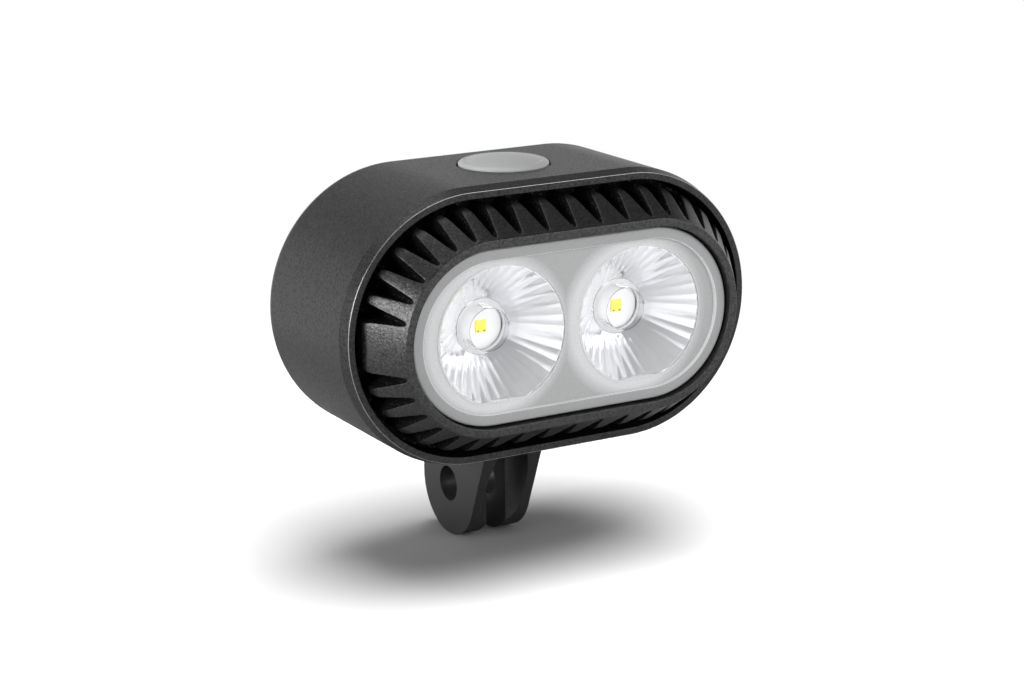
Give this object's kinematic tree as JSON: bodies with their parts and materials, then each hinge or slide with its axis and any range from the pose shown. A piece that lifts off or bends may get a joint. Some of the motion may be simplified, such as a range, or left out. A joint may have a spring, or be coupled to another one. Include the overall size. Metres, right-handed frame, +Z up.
{
  "type": "bicycle headlight",
  "caption": "Oblong bicycle headlight with paired fluted optics, a finned heat-sink bezel, a top push button, a rear charging door and a pronged hinge lug for a handlebar clamp.",
  "frame": {"origin": "centre of the lug's bolt hole, midway between the prongs", "axes": "+X along the bolt hole, to the right as one looks at the lamp's front; -Y the way the beam points; +Z up"},
  "size_m": [0.0608, 0.0365, 0.0552],
  "materials": {
    "case_charcoal": "sand-textured dark anodising",
    "fin_black": "sand-textured black anodising",
    "cover_charcoal": "fine spark-textured moulding",
    "lens_clear": "clear window with a frosted border",
    "optic_clear": "polished, fluted flank",
    "led_yellow": "phosphor under a clear dome",
    "silicone_grey": "translucent silicone, satin",
    "bracket_black": "smooth satin moulding",
    "seal_rubber": "matte",
    "door_rubber": "matte",
    "screw_steel": "satin",
    "socket_steel": "satin",
    "insert_brass": "satin",
    "white_plastic": "moulded",
    "board_white": "white solder mask on a metal core",
    "board_green": "solder mask",
    "chip_black": "moulded",
    "ferrite_grey": "matte",
    "pad_grey": "matte",
    "foam_dark": "open foam",
    "wire_red": "satin",
    "battery_blue": "blue film over an aluminium can"
  },
  "bodies": {
    "lamp": {"case": "case_charcoal", "rear_cover": "cover_charcoal", "rear_gasket": "seal_rubber", "rear_screws": "screw_steel", "heat_sink": "fin_black", "head_seal": "seal_rubber", "head_screws": "screw_steel", "lens": "lens_clear", "lens_gasket": "seal_rubber", "left_optic": "optic_clear", "right_optic": "optic_clear", "left_optic_holder": "white_plastic", "right_optic_holder": "white_plastic", "led_board": "board_white", "led_board_screws": "screw_steel", "left_led": "led_yellow", "right_led": "led_yellow", "thermal_pad": "pad_grey", "led_leads": "wire_red", "button_frame": "white_plastic", "switch_board": "board_green", "switch_board_screws": "screw_steel", "switch_body": "chip_black", "status_led": "led_yellow", "battery_pack": "battery_blue", "battery_pad": "foam_dark", "battery_leads": "wire_red", "driver_board": "board_green", "driver_board_screws": "screw_steel", "inductor": "ferrite_grey", "controller_chip": "chip_black", "charging_socket": "socket_steel", "port_cover_pin": "screw_steel", "mount_bracket": "bracket_black", "mount_screws": "screw_steel", "mount_inserts": "insert_brass"},
    "button": {"button_cap": "silicone_grey"},
    "plunger": {"switch_plunger": "white_plastic"},
    "door": {"port_cover": "door_rubber"}
  },
  "joints": [
    {"name": "button_press", "type": "slide", "parent": "lamp", "child": "button", "axis": [0, 0, -1], "range_m": [0, 0.0006], "stiffness_N_per_m": 2500, "springref_m": -0.0002},
    {"name": "plunger_press", "type": "slide", "parent": "lamp", "child": "plunger", "axis": [0, 0, -1], "range_m": [0, 0.0006]},
    {"name": "port_cover_swing", "type": "hinge", "parent": "lamp", "child": "door", "pos_m": [0, 0.0071, 0.0322], "axis": [1, 0, 0], "range_deg": [0, 100]}
  ],
  "couplings": [
    {"joint": "plunger_press", "follows": "button_press", "ratio": 1}
  ]
}
